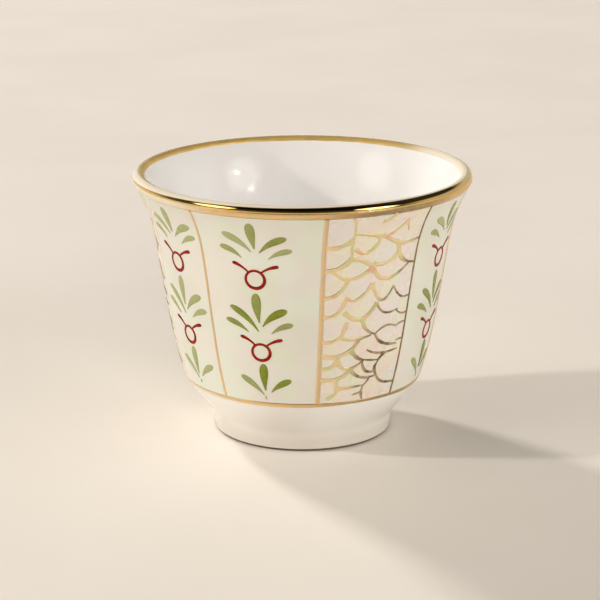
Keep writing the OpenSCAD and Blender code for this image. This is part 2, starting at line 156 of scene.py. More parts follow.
foot_low = Vector((foot_d / 2, foot_edge_h))
foot_top = Vector((foot_top_d / 2, foot_h))
foot_lean = math.degrees(math.atan((foot_top.x - foot_low.x) / (foot_top.y - foot_low.y)))
shoulder = Vector((shoulder_d / 2, shoulder_h))
neck = Vector((neck_d / 2, neck_h))
lip_mid = Vector((lip_d / 2 - lip_t / 2, cup_h - lip_t / 2))
lip_out = lip_mid + lip_t / 2 * outward(leaning(lip_lean))
lip_in = lip_mid - lip_t / 2 * outward(leaning(lip_lean))
outside = joined(
    straight(foot_low, foot_top, 12),
    bend(foot_top, foot_lean, shoulder, shoulder_lean, foot_turn_share, shoulder_turn_share),
    bend(shoulder, shoulder_lean, neck, neck_lean),
    bend(neck, neck_lean, lip_out, lip_lean)
)
lip = arc(lip_mid, lip_t / 2, -lip_lean, 180 - lip_lean, 24)

side = joined(outside, lip[:len(lip) // 2])
heights = [point.y for point, _ in side]


def side_at(height):
    """Point and direction of the glazed side at a height."""
    return sampled(side, heights, height)


inner_neck = neck - neck_t * outward(leaning(neck_lean))
inner_turn = Vector((side_at(turn_h)[0].x - turn_t, turn_h))
bowl_drop = bowl_side_share * math.hypot(inner_turn.x, turn_h - floor_h)
bowl = curve((
    Vector((0, floor_h)),
    Vector((bowl_floor_share * inner_turn.x, floor_h)),
    inner_turn - bowl_drop * leaning(shoulder_lean),
    inner_turn
), 40)
inside = backwards(joined(
    bowl,
    bend(inner_turn, shoulder_lean, inner_neck, neck_lean),
    bend(inner_neck, neck_lean, lip_in, lip_lean)
))
wall = joined(outside, lip, inside)

corner_mid = Vector((well_r - well_corner_r, well_h - well_corner_r))
well = joined(
    straight(Vector((0, well_h)), Vector((corner_mid.x, well_h)), 4),
    arc(corner_mid, well_corner_r, 90, 0, 8),
    straight(Vector((well_r, corner_mid.y)), Vector((well_r, foot_edge_h)), 6)
)
ring_out = foot_low - glaze_t * outward(leaning(foot_lean))
ring_flat = Vector((ring_out.x - foot_edge_h, 0))
ring_in_mid = Vector((well_r + glaze_t + foot_edge_h, foot_edge_h))
ring = joined(
    arc(ring_in_mid, foot_edge_h, 180, 270, 10),
    straight(Vector((ring_in_mid.x, 0)), ring_flat, 2),
    bend(ring_flat, 90, ring_out, foot_lean, foot_edge_share, foot_edge_share, 10)
)


def turned(outline_at, steps=240):
    """Turns a closed section about the cup's axis. It may change with the angle, in degrees."""
    bm = bmesh.new()
    rounds = []
    outlines = [outline_at(360 * k / steps) for k in range(steps)]
    for row in zip(*outlines):
        if row[0].x < weld_d:
            rounds.append([bm.verts.new((0, 0, row[0].y))])
            continue
        rounds.append([])
        for k, point in enumerate(row):
            turn = 2 * math.pi * k / steps
            rounds[-1].append(bm.verts.new((point.x * math.sin(turn), -point.x * math.cos(turn), point.y)))
    for a, b in zip(rounds, rounds[1:] + rounds[:1]):
        for k in range(steps if len(a) + len(b) > 2 else 0):
            n = (k + 1) % steps
            corners = (a[k % len(a)], a[n % len(a)], b[n % len(b)], b[k % len(b)])
            bm.faces.new(list(dict.fromkeys(corners)))
    return bm


def piece(name, bm, material, slot, *nodes):
    """Makes a mesh a piece of the cup that stands for CAD nodes."""
    bmesh.ops.remove_doubles(bm, verts=bm.verts, dist=weld_d)
    bmesh.ops.recalc_face_normals(bm, faces=bm.faces)
    mesh = bpy.data.meshes.new(name)
    bm.to_mesh(mesh)
    bm.free()
    mesh.shade_smooth()
    mesh.set_sharp_from_angle(angle=math.radians(crease_angle))
    mesh.materials.append(material)
    made = bpy.data.objects.new(name, mesh)
    bpy.context.scene.collection.objects.link(made)
    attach(made, "root")
    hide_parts(*nodes)


def ramp(tree, source, low, high, to_low, to_high):
    """Maps a range of a value to another range, softly and without going past it."""
    node = tree.nodes.new("ShaderNodeMapRange")
    node.interpolation_type = "SMOOTHSTEP"
    tree.links.new(source, node.inputs["Value"])
    for socket, value in zip(("From Min", "From Max", "To Min", "To Max"), (low, high, to_low, to_high)):
        node.inputs[socket].default_value = value
    return node.outputs["Result"]


class Finish:
    """A procedural material on the cup's own coordinates, in metres."""

    def __init__(self, name, **sockets):
        self.material = bpy.data.materials.new(name)
        self.material.use_nodes = True
        self.tree = self.material.node_tree
        self.surface = self.tree.nodes["Principled BSDF"]
        self.place = self.tree.nodes.new("ShaderNodeTexCoord").outputs["Object"]
        for socket, value in sockets.items():
            self.surface.inputs[socket.replace("_", " ")].default_value = value

    def add(self, kind, links, **values):
        """Adds a node, links its sockets and sets its values."""
        node = self.tree.nodes.new(kind)
        for key, value in values.items():
            if hasattr(node, key):
                setattr(node, key, value)
            else:
                node.inputs[key.replace("_", " ")].default_value = value
        for socket, source in links.items():
            self.tree.links.new(source, node.inputs[socket])
        return node

    def noise(self, grain, detail=2, stretch=(1, 1, 1)):
        """Soft noise whose patches are about a grain wide, or narrower where it is stretched."""
        place = self.add("ShaderNodeVectorMath", {0: self.place}, operation="MULTIPLY")
        place.inputs[1].default_value = stretch
        links = {"Vector": place.outputs["Vector"]}
        return self.add("ShaderNodeTexNoise", links, Scale=1 / grain, Detail=detail).outputs["Fac"]

    def read(self, name):
        """A value that the mesh stores at its points."""
        return self.add("ShaderNodeAttribute", {}, attribute_name=name).outputs["Fac"]

    def spread(self, source, low, high, to_low=0, to_high=1):
        return ramp(self.tree, source, low, high, to_low, to_high)

    def product(self, a, b):
        return self.add("ShaderNodeMath", {0: a, 1: b}, operation="MULTIPLY").outputs["Value"]

    def mixed(self, factor, a, b):
        """Mixes two colours, each a colour or the output of another mix."""
        node = self.add("ShaderNodeMix", {"Factor": factor}, data_type="RGBA")
        for socket, colour in ((node.inputs[6], a), (node.inputs[7], b)):
            if isinstance(colour, tuple):
                socket.default_value = (*colour, 1)
            else:
                self.tree.links.new(colour, socket)
        return node.outputs[2]

    def patches(self, grain, a, b, low=0.35, high=0.65, detail=2):
        """Mixes two colours in soft patches about a grain wide."""
        return self.mixed(self.spread(self.noise(grain, detail), low, high), a, b)

    def give(self, socket, source):
        self.tree.links.new(source, self.surface.inputs[socket])

    def rough(self, grain, low, high):
        """Roughness that drifts between two values in patches about a grain wide."""
        self.give("Roughness", self.spread(self.noise(grain), 0.3, 0.7, low, high))

    def bump(self, grain, depth, detail=2):
        """Soft relief of a depth, in patches about a grain wide."""
        node = self.add("ShaderNodeBump", {"Height": self.noise(grain, detail)}, Distance=depth)
        self.give("Normal", node.outputs["Normal"])


# The bare ring is pale where it stands, and painted dark from its edge up as shade in the gap under the foot
biscuit = Finish("bare_porcelain", IOR=1.5)
ring_height = biscuit.add("ShaderNodeSeparateXYZ", {"Vector": biscuit.place}).outputs["Z"]
biscuit.give("Base Color", biscuit.mixed(
    biscuit.spread(ring_height, 0.01 * mm, 0.06 * mm),
    biscuit.mixed(biscuit.noise(3 * mm), (0.62, 0.58, 0.51), (0.7, 0.66, 0.6)),
    biscuit.mixed(biscuit.noise(3 * mm), (0.1, 0.08, 0.05), (0.16, 0.13, 0.09))
))
biscuit.rough(0.5 * mm, 0.55, 0.75)
biscuit.bump(0.12 * mm, 0.01 * mm, 4)

body_outline = pushed(wall, -glaze_t) + pushed(well, -glaze_t) + pushed(ring[1:-1], 0)
piece("porcelain_shape", turned(lambda angle: body_outline), biscuit.material, "porcelain", "porcelain_body")

# Glaze
# A clear glaze over the white porcelain, poured inside and dipped outside, and wiped off the foot ring.
# It thins to a rounded edge above the bare ring, and its surface keeps a very faint wave.

glaze_edge_h = 0.2 * mm
glaze_sunk = 0.03 * mm
# Heights up to which the shade painted low on the cup is full, and at which it is gone
shade_full_h = 1.5 * mm
shade_end_h = 6.5 * mm


def glaze_finish(name, shade, tint, low_shade_tone):
    """Glaze over white porcelain. It drifts softly between two tones, and is painted darker and warmer
    low on the cup, as shade.
    """
    finish = Finish(name, IOR=1.5)
    height = finish.add("ShaderNodeSeparateXYZ", {"Vector": finish.place}).outputs["Z"]
    painted_low_shade = finish.spread(height, shade_full_h, shade_end_h, 1, 0)
    finish.give("Base Color", finish.mixed(painted_low_shade, finish.patches(14 * mm, shade, tint), low_shade_tone))
    finish.rough(6 * mm, 0.1, 0.16)
    finish.bump(9 * mm, 0.05 * mm)
    return finish.material


# The same glaze inside and out: the bowl's copy is given lighter tones than the outside's, as painted light
outer_finish = glaze_finish("glaze_over_side", (0.83, 0.8, 0.75), (0.85, 0.83, 0.79), (0.69, 0.64, 0.57))
inner_finish = glaze_finish(
    "glaze_over_bowl",
    (0.875, 0.85, 0.825),
    (0.885, 0.87, 0.855),
    (0.845, 0.81, 0.775)
)


def glaze_skin(samples, out_at):
    """Section of the glaze: its surface, and its back just inside the porcelain."""
    surface = [point + out_at(point) * outward(direction) for point, direction in samples]
    return surface + list(reversed(pushed(samples, -glaze_t - glaze_sunk)))


def thinned(point):
    """How far below its full height the glaze lies as it thins towards the foot ring."""
    rise = min(max((point.y - bare_h) / glaze_edge_h, 0), 1)
    return -glaze_t * (1 - math.sqrt(rise * (2 - rise)))


crown = len(lip) // 2
outer_samples = joined([s for s in outside if s[0].y > bare_h], lip[:crown + 1])
inner_samples = joined(lip[crown:], inside)
well_samples = [s for s in well if s[0].y > bare_h]
outer_skin = glaze_skin(outer_samples, thinned)
inner_skin = glaze_skin(inner_samples, lambda point: 0)
well_skin = glaze_skin(well_samples, thinned)
piece("glaze_outside", turned(lambda angle: outer_skin), outer_finish, "glaze", "outer_glaze")
piece("glaze_inside", turned(lambda angle: inner_skin), inner_finish, "glaze", "inner_glaze")
piece("glaze_in_foot", turned(lambda angle: well_skin), outer_finish, "glaze", "well_glaze")

# Grounds of the panels
# Thin washes fired onto the glaze. The flower panels have a pale mint and cream ground, the scale panels
# a pearly lustre that shifts between cream, pink and grey. Gold lines cover the seams between them.

ground_t = 0.12 * mm
sunk = 0.03 * mm
seam_w = 0.14 * mm
painted_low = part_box("lower_gold_line")[1].z
painted_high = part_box("upper_gold_line")[0].z
repeats = 3
# Degrees round the cup: the first upright line, the width of a scale and of a narrow panel, and how far
# the lines lean from the foot of the panels to their top
first_edge = 7.3
scale_panel = 39.1
narrow_panel = 34.3
left_lead = 1.2
right_lead = 2.1
edge_steps = (0, scale_panel, scale_panel + narrow_panel)
edge_leads = (left_lead, right_lead, -left_lead)
ground_rows = 48
ground_columns = 40


def edge_at(i, share):
    """Angle of upright line i at a share of the painted height. Lines lean as the panels taper."""
    start = first_edge + 360 / repeats * (i // 3) + edge_steps[i % 3]
    return start + edge_leads[i % 3] * (share - 1 / 2)


def painted_h(share):
    return painted_low + share * (painted_high - painted_low)


def on_wall(angle, height, out):
    """Point at a distance out from the glazed side, at an angle from the front."""
    point, direction = side_at(height)
    point = point + out * outward(direction)
    turn = math.radians(angle)
    return Vector((point.x * math.sin(turn), -point.x * math.cos(turn), point.y))


def slab(bm, top, under, closed=False):
    """Closes a grid of points and the grid under it into one thin solid, round a loop if it is closed."""
    top = [[bm.verts.new(point) for point in row] for row in top]
    under = [[bm.verts.new(point) for point in row] for row in under]
    last = len(top[0]) - 1
    for r in range(len(top) if closed else len(top) - 1):
        n = (r + 1) % len(top)
        for c in range(last):
            bm.faces.new((top[r][c], top[r][c + 1], top[n][c + 1], top[n][c]))
            bm.faces.new((under[r][c + 1], under[r][c], under[n][c], under[n][c + 1]))
        bm.faces.new((under[r][0], top[r][0], top[n][0], under[n][0]))
        bm.faces.new((top[r][last], under[r][last], under[n][last], top[n][last]))
    if not closed:
        for c in range(last):
            bm.faces.new((under[0][c], under[0][c + 1], top[0][c + 1], top[0][c]))
            bm.faces.new((top[-1][c], top[-1][c + 1], under[-1][c + 1], under[-1][c]))
    return top + under


def ground(i):
    """Wash between upright lines i and i + 1."""
    bm = bmesh.new()
    rows = []
    for r in range(ground_rows + 1):
        share = r / ground_rows
        height = painted_h(share)
        inset = math.degrees(seam_w / 2 / side_at(height)[0].x)
        left, right = edge_at(i, share) + inset, edge_at(i + 1, share) - inset
        angles = [left + (right - left) * c / ground_columns for c in range(ground_columns + 1)]
        rows.append([(angle, height) for angle in angles])
    slab(
        bm,
        [[on_wall(*place, ground_t) for place in row] for row in rows],
        [[on_wall(*place, -sunk) for place in row] for row in rows]
    )
    return bm


pale = Finish("pale_ground", IOR=1.5)
pale.give("Base Color", pale.patches(
    11 * mm,
    pale.patches(5 * mm, (0.72, 0.73, 0.59), (0.76, 0.71, 0.64), 0.4, 0.6),
    pale.patches(7 * mm, (0.75, 0.78, 0.66), (0.79, 0.75, 0.67), 0.4, 0.6),
    detail=1
))
pale.rough(4 * mm, 0.1, 0.2)
pale.bump(9 * mm, 0.05 * mm)

pearl = Finish("pearl_lustre", IOR=1.6)
cells = pearl.add("ShaderNodeTexVoronoi", {"Vector": pearl.place}, Scale=1 / (4.2 * mm), feature="SMOOTH_F1")
cell_tone = pearl.add("ShaderNodeSeparateColor", {"Color": cells.outputs["Color"]}).outputs["Red"]
pearl.give("Base Color", pearl.mixed(
    pearl.spread(cell_tone, 0.1, 0.9),
    pearl.patches(3 * mm, (0.8, 0.745, 0.57), (0.82, 0.68, 0.6)),
    pearl.patches(4 * mm, (0.73, 0.745, 0.61), (0.795, 0.71, 0.7))
))
pearl.rough(2.5 * mm, 0.16, 0.34)
pearl.bump(4 * mm, 0.04 * mm)

for i in range(3 * repeats):
    if i % 3 == 0:
        number = i // 3 + 1
        piece(f"pearl_panel_{number}", ground(i), pearl.material, "pearl_lustre", f"scale_ground_{number}")
    else:
        number = 2 * (i // 3) + i % 3
        piece(f"pale_panel_{number}", ground(i), pale.material, "pale_ground", f"flower_ground_{number}")

# Gold lines
# Gold printed as a transfer and fired: a band under the lip, a line above the shoulder and nine upright
# lines. It is satin and its edges waver a little. Over the middle of each scale panel it is bronze, as
# thin gold and as painted shade, and on the cup's left it is painted pale as a highlight.

paint_t = 0.12 * mm
line_h = ground_t + paint_t
line_widths = (1 * mm, 0.46 * mm, 0.55 * mm)
# How bronze each upright line is, partly as painted shade, or how pale as a painted highlight below zero
line_bronze_and_painted_light = (-0.32, 1, -0.25) * 2 + (-0.32, -0.9, -0.25)
line_steps = 60
waver = 0.035 * mm
wave_counts = (7, 19, 43)
# Middle and reach of the bronze and painted shade over a scale panel, and where the painted highlight on
# the cup's left starts, is full, fades and ends, all in degrees
bronze_shade_middle = 33
bronze_shade_reach = 24
highlight_start, highlight_full, highlight_fading, highlight_end = 18, 52, 100, 120
# Shares of a band's height over which its foot and its head are rounded, and how high a mark's edges stand
band_foot_share = 0.3
band_head_share = 0.6
mark_edge_share = 0.1

printed_gold = Finish("printed_gold")
bright_gold = printed_gold.patches(2.2 * mm, (0.88, 0.57, 0.27), (0.76, 0.58, 0.3))
# Brown, as thin gold and as painted shade
thin_shaded_gold = printed_gold.mixed(printed_gold.noise(1.1 * mm), (0.24, 0.16, 0.09), (0.4, 0.3, 0.17))
bronze_and_shade = printed_gold.product(
    printed_gold.read("bronze_and_painted_light"),
    printed_gold.spread(printed_gold.noise(1.3 * mm, 3), 0.3, 0.6, 0.7, 1)
)
# Below zero the gold is painted pale cream and less metallic, as a highlight
painted_highlight = printed_gold.spread(printed_gold.read("bronze_and_painted_light"), 0, -1)
printed_gold.give("Base Color", printed_gold.mixed(
    painted_highlight,
    printed_gold.mixed(bronze_and_shade, bright_gold, thin_shaded_gold),
    (0.93, 0.84, 0.69)
))
printed_gold.give("Metallic", printed_gold.spread(painted_highlight, 0, 1, 1, 0.35))
printed_gold.rough(0.8 * mm, 0.28, 0.42)
printed_gold.bump(0.35 * mm, 0.008 * mm, 3)


def wavering(angle, seed, amount):
    """A small even wave round the cup, the same each time and without a seam."""
    turn = math.radians(angle)
    return amount * sum(math.sin(count * turn + k * seed) for k, count in enumerate(wave_counts, 1)) / 2


def eased(value, low, high):
    """Goes softly from 0 to 1 as a value goes from low to high."""
    share = min(max((value - low) / (high - low), 0), 1)
    return share * share * (3 - 2 * share)


def turned_to(point):
    """Angle of a point round the cup, from the front and positive to the right."""
    return math.degrees(math.atan2(point.x, -point.y))


def bronze_shade_and_highlight(point):
    """Bronze over the middle of each scale panel, as thin gold and painted shade, and pale on the cup's
    left as a painted highlight, as minus 1.
    """
    angle = turned_to(point)
    if -highlight_end < angle < -highlight_start:
        return -eased(-angle, highlight_start, highlight_full) * eased(angle, -highlight_end, -highlight_fading)
    return max(0, 1 - ((angle % (360 / repeats) - bronze_shade_middle) / bronze_shade_reach) ** 2)


def gold_band(low, high, seed, amount, thickness, top_h, bronze_and_painted_light, narrowed=0, steps=12):
    """A line of gold right round the side between two heights. Its top edge may run on into the next gold."""
    def outline(angle):
        thin = max(0, bronze_shade_and_highlight(on_wall(angle, low, 0)))
        bottom = low + abs(wavering(angle, seed, amount)) + narrowed * thin
        surface, back = [], []
        for k in range(steps + 1):
            share = k / steps
            point, direction = side_at(bottom + (high - bottom) * share)
            foot = math.sqrt(1 - max(0, 1 - share / band_foot_share) ** 2)
            rounded = math.sqrt(1 - max(0, 1 - (1 - share) / band_head_share) ** 2)
            head = top_h / thickness + (1 - top_h / thickness) * rounded
            surface.append(point + (sunk + (thickness - sunk) * foot) * head * outward(direction))
            back.append(point - sunk * outward(direction))
        return surface + back[::-1]

    bm = turned(outline, steps=360)
    layer = bm.verts.layers.float.new("bronze_and_painted_light")
    for vertex in bm.verts:
        vertex[layer] = bronze_and_painted_light * bronze_shade_and_highlight(vertex.co)
    return bm


gilding_t = 0.095 * mm
band_lap = 0.11 * mm
line_narrowed = 0.22 * mm
band_low, band_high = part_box("upper_gold_line")[0].z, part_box("upper_gold_line")[1].z + band_lap
line_low, line_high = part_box("lower_gold_line")[0].z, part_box("lower_gold_line")[1].z
band = gold_band(
    band_low,
    band_high,
    seed=1,
    amount=1.6 * waver,
    thickness=0.8 * line_h,
    top_h=gilding_t,
    bronze_and_painted_light=0.75
)
line = gold_band(
    line_low,
    line_high,
    seed=2,
    amount=waver,
    thickness=line_h,
    top_h=sunk,
    bronze_and_painted_light=0.5,
    narrowed=line_narrowed
)
piece("upper_band_print", band, printed_gold.material, "printed_gold", "upper_gold_line")
piece("lower_line_print", line, printed_gold.material, "printed_gold", "lower_gold_line")

across_shares = (-1, -0.85, -0.5, 0, 0.5, 0.85, 1)


def laid(bm, stem, rows, base_h, thickness, closed=False):
    """Lays a painted or printed mark on the wall. Each row is its middle and its half width across, both
    in metres round the wall from the stem and up. Its top is rounded, and its back is sunk in the ground."""
    top, under = [], []
    for middle, half in rows:
        places = [middle + share * half for share in across_shares]
        turns = [stem + math.degrees(p.x / side_at(p.y)[0].x) for p in places]
        rounded = [mark_edge_share + (1 - mark_edge_share) * math.sqrt(1 - s ** 4) for s in across_shares]
        rises = [base_h + thickness * share for share in rounded]
        top.append([on_wall(turn, p.y, rise) for turn, p, rise in zip(turns, places, rises)])
        under.append([on_wall(turn, p.y, base_h - sunk) for turn, p in zip(turns, places)])
    return slab(bm, top, under, closed)


for i in range(3 * repeats):
    bm = bmesh.new()
    layer = bm.verts.layers.float.new("bronze_and_painted_light")
    rows = []
    for k in range(line_steps + 1):
        share = k / line_steps
        height = painted_h(share)
        shift = math.radians(edge_at(i, share) - edge_at(i, 1 / 2)) * side_at(height)[0].x
        half = line_widths[i % 3] / 2 + wavering(360 * share, i, waver) / 2
        rows.append((Vector((shift, height)), Vector((half, 0))))
    for row in laid(bm, edge_at(i, 1 / 2), rows, sunk, line_h - sunk):
        for vertex in row:
            vertex[layer] = line_bronze_and_painted_light[i]
    piece(f"upright_print_{i + 1}", bm, printed_gold.material, "printed_gold", f"upright_line_{i + 1}")

# Sprays of leaves
# Olive green enamel, brushed on by hand leaf by leaf and fired. The brush starts each leaf as a thin
# tail and presses out to a round end. The colour gathers at the edges and thins towards the tip.

leaf_t = 0.11 * mm
wide_panel = 360 / repeats - scale_panel - narrow_panel
narrow_stem_share = 0.556
wide_stem_share = 0.466
# How far the hand strays in millimetres, and by what shares of a leaf's width and of how full its green is
stray = 0.1
width_stray_share = 0.05
tone_stray_share = 0.08
# Tips above this height, in millimetres, don't slip up with their column, so they stay off the gold band
kept_tip = 45
# Width of a leaf at its tail, then how much and how late it swells
leaf_tail_share = 0.14
leaf_swell_share = 2.75
leaf_swell_power = 1.25
# How each column was painted: degrees round the wall off its stem, millimetres up, share of its reach,
# and share of how full its green is. On the cup's left the green is paled as a painted highlight.
column_slips = (
    (0.95, 0.35, 0.93, 0.9),
    (0.3, -0.2, 1.02, 1),
    (-0.4, 0.3, 0.97, 0.95),
    (0.2, 0.1, 1, 1),
    # The column on the cup's left: its green is paled as a painted highlight
    (-0.95, 0.6, 0.97, 0.3),
    (0, 0, 1, 1)
)

# Leaves of the three sprays up a stem: tail and tip, each round the wall from the stem and up,
# then width, sideways rise of the middle, all in millimetres, and how full the colour is
spray_leaves = (
    (0.15, 42.9, -0.35, 48.1, 1.95, -0.15, 0.55),
    (-0.7, 42.2, -6.1, 45.6, 1.4, 0.5, 0.15),
    (0.95, 42.1, 6.25, 45.2, 1.45, 0.55, 0.75),
    (-2.5, 41, -6.85, 42.9, 1.15, 0.4, 0.5),
    (2.6, 40.9, 7.05, 42.7, 1.15, 0.4, 0.4),
    (0.2, 28.3, -0.25, 34, 1.8, -0.15, 0.7),
    (-0.1, 26.5, -5.5, 31.1, 1.35, 0.6, 0.8),
    (0.85, 27.4, 5.5, 30.7, 1.5, 0.55, 1),
    (-2.1, 26.1, -6.5, 28.3, 1.15, 0.35, 0.65),
    (2.3, 26.2, 6.5, 28.1, 1.2, 0.4, 0.6),
    (0.35, 14.2, 0.4, 19.9, 1.7, 0.1, 1),
    (-0.1, 13.3, -4.3, 17, 1.3, 0.35, 0.35),
    (1.45, 14, 5.3, 16.7, 1.35, 0.35, 0.8),
    (0.3, 12.3, 0.2, 13, 0.4, 0, 0.1)
)

mark_values = ("along", "across", "tone")

enamel = Finish("green_enamel", IOR=1.5, Specular_IOR_Level=0.25)
along, across, tone = (enamel.read(name) for name in mark_values)
wash = enamel.patches(0.9 * mm, (0.23, 0.25, 0.02), (0.17, 0.22, 0.01))
washed = enamel.mixed(enamel.spread(along, 0.5, 1.05), wash, (0.28, 0.29, 0.05))
pooled = enamel.mixed(
    enamel.product(enamel.spread(across, 0.6, 1), enamel.spread(along, 0, 0.5, 0.75, 0.5)),
    washed,
    (0.1, 0.13, 0.01)
)
enamel.give("Base Color", enamel.mixed(enamel.spread(tone, 0, 1, 0.6, 0), pooled, (0.56, 0.56, 0.32)))
enamel.rough(1.2 * mm, 0.16, 0.28)
enamel.bump(0.7 * mm, 0.015 * mm)


def leaf_share(t):
    """Half width of a leaf along it: it swells from a thin tail and rounds off at the tip."""
    width_share = leaf_tail_share * (1 - t) + leaf_swell_share * t ** leaf_swell_power
    return width_share * math.sqrt(max(1 - t, 0))


def brush_rows(tail, tip, rise, half_at, steps=22, ahead=0.01):
    """Middle and half width across, all along a curved mark from its tail to its tip."""
    def middle(t):
        along = tip - tail
        side = Vector((-along.y, along.x)).normalized() * (-1 if along.x < 0 else 1)
        return tail + t * along + 4 * t * (1 - t) * rise * side

    rows = []
    for k in range(steps + 1):
        t = math.sin(math.pi / 2 * k / steps)
        heading = (middle(min(t + ahead, 1)) - middle(max(t - ahead, 0))).normalized()
        rows.append((middle(t), half_at(t) * Vector((heading.y, -heading.x))))
    return rows


def noted(bm, points, row_count, tone_value):
    """Stores how far along and across the mark each point lies, and how full its colour is."""
    layers = [bm.verts.layers.float[name] for name in mark_values]
    for r, row in enumerate(points):
        for c, vertex in enumerate(row):
            values = ((r % row_count) / (row_count - 1), abs(across_shares[c]), tone_value)
            for layer, value in zip(layers, values):
                vertex[layer] = value


def stem_at(i):
    """Angle of a flower panel's stem. Even panels are narrow and odd ones wide."""
    start = first_edge + 360 / repeats * (i // 2) + scale_panel
    in_wide_panel = narrow_panel + wide_stem_share * wide_panel
    return start + column_slips[i][0] + (narrow_stem_share * narrow_panel if i % 2 == 0 else in_wide_panel)


hand = random.Random(5)
for i in range(2 * repeats):
    bm = bmesh.new()
    for name in mark_values:
        bm.verts.layers.float.new(name)
    column_up, reach, fullness = column_slips[i][1:]
    for tail_x, tail_z, tip_x, tip_z, width, rise, tone_value in spray_leaves:
        slip = [hand.uniform(-stray, stray) for _ in range(4)]
        tip_up = column_up if tip_z <= kept_tip else 0
        tail = Vector((reach * tail_x + slip[0], tail_z + column_up + slip[1])) * mm
        tip = Vector((reach * tip_x + slip[2], tip_z + tip_up + slip[3])) * mm
        half = width * mm / 2 * hand.uniform(1 - width_stray_share, 1 + width_stray_share)
        rows = brush_rows(tail, tip, rise * mm, lambda t: half * leaf_share(t))
        points = laid(bm, stem_at(i), rows, ground_t, leaf_t)
        painted_tone = tone_value + hand.uniform(-tone_stray_share, tone_stray_share)
        noted(bm, points, len(rows), fullness * min(1, max(0, painted_tone)))
    piece(f"painted_leaves_{i + 1}", bm, enamel.material, "green_enamel", f"leaf_spray_{i + 1}")

# Red rings
# Deep red enamel, drawn with a fine brush: a ring under each spray, with two horns that start as a thin
# line at the ring and end in a drop. The line is thicker where the brush came round the bottom.

ring_r = 2.05 * mm
ring_steps = 48
oval_shares = (1.02, 0.98)
red_line_w = 0.56 * mm
# A ring's line swells by this share, most at this angle in radians below its right side
swell_share = 0.16
swell_turn = 1.1
horn_w = 0.92 * mm
horn_rise = 0.25 * mm
# Width of a horn at the ring, how much and how late it swells, and how round it ends
horn_root_share = 0.42
horn_swell_share = 0.7
horn_swell_power = 2.2
horn_round = 7
# Rings up a stem: middle round the wall from the stem and up, size against the full one,
# then each horn's join and end, in millimetres from the ring's middle
rings = (
    (-0.15, 36.75, 1, (-1.35, 1.5, -4.3, 3.1), (1.35, 1.5, 4.6, 2.75)),
    (0.1, 22.2, 0.95, (-1.15, 1.5, -3.9, 3), (1.2, 1.45, 4.25, 2.75))
)

red = Finish("red_enamel", IOR=1.5, Specular_IOR_Level=0.1)
red.give("Base Color", red.patches(0.8 * mm, (0.34, 0.015, 0.006), (0.22, 0.008, 0.004)))
red.rough(1.2 * mm, 0.18, 0.3)
red.bump(0.6 * mm, 0.015 * mm)


def horn_share(t):
    """Half width along a horn: a thin line that ends in a drop."""
    width_share = horn_root_share + horn_swell_share * t ** horn_swell_power
    return width_share * math.sqrt(max(1 - t ** horn_round, 0))


for i in range(2 * repeats):
    bm = bmesh.new()
    for middle_x, middle_z, size, *horns in rings:
        middle = Vector((middle_x + hand.uniform(-stray, stray), middle_z + column_slips[i][1])) * mm
        radius = (ring_r - red_line_w / 2) * size
        rows = []
        for k in range(ring_steps):
            turn = 2 * math.pi * k / ring_steps
            spoke = Vector((math.cos(turn), math.sin(turn)))
            swell = 1 + swell_share * math.cos(turn + swell_turn)
            oval = Vector((oval_shares[0] * spoke.x, oval_shares[1] * spoke.y))
            rows.append((middle + radius * oval, red_line_w / 2 * swell * spoke))
        laid(bm, stem_at(i), rows, ground_t, leaf_t, closed=True)
        for join_x, join_z, end_x, end_z in horns:
            join = middle + Vector((join_x, join_z)) * mm * size
            end = middle + Vector((end_x, end_z)) * mm
            rows = brush_rows(join, end, horn_rise, lambda t: horn_w / 2 * horn_share(t))
            laid(bm, stem_at(i), rows, ground_t, leaf_t)
    piece(f"painted_rings_{i + 1}", bm, red.material, "red_enamel", f"red_rings_{i + 1}")

# Scale net
# Gold lustre drawn over the pearl ground as rows of fish scales. Each scale is one or two bent strokes,
# fuller in the middle and thin where they meet, and the gold is thin enough to look olive in places.
# Towards the right and foot of each panel it is brown, as thin gold and as painted shade.

stroke_w = 0.5 * mm
stroke_t = 0.1 * mm
# Each stroke lies this share thicker than the one before, so that no two tops meet where they cross
lift_share = 0.002
# Width of a full stroke at its middle and what its ends add, width of a thin stroke's ends, and the
# hand's wave, all as shares
full_share, full_ends_share = 1.6, 0.5
thin_ends_share = 0.6
wave_share = 0.12
# The gold is brown, as thin gold and painted shade, across these shares of the panel's width, further
# right the higher it is
brown_start, brown_full = 0.28, 0.48
brown_foot_share = 0.3
brown_slope = 1.05

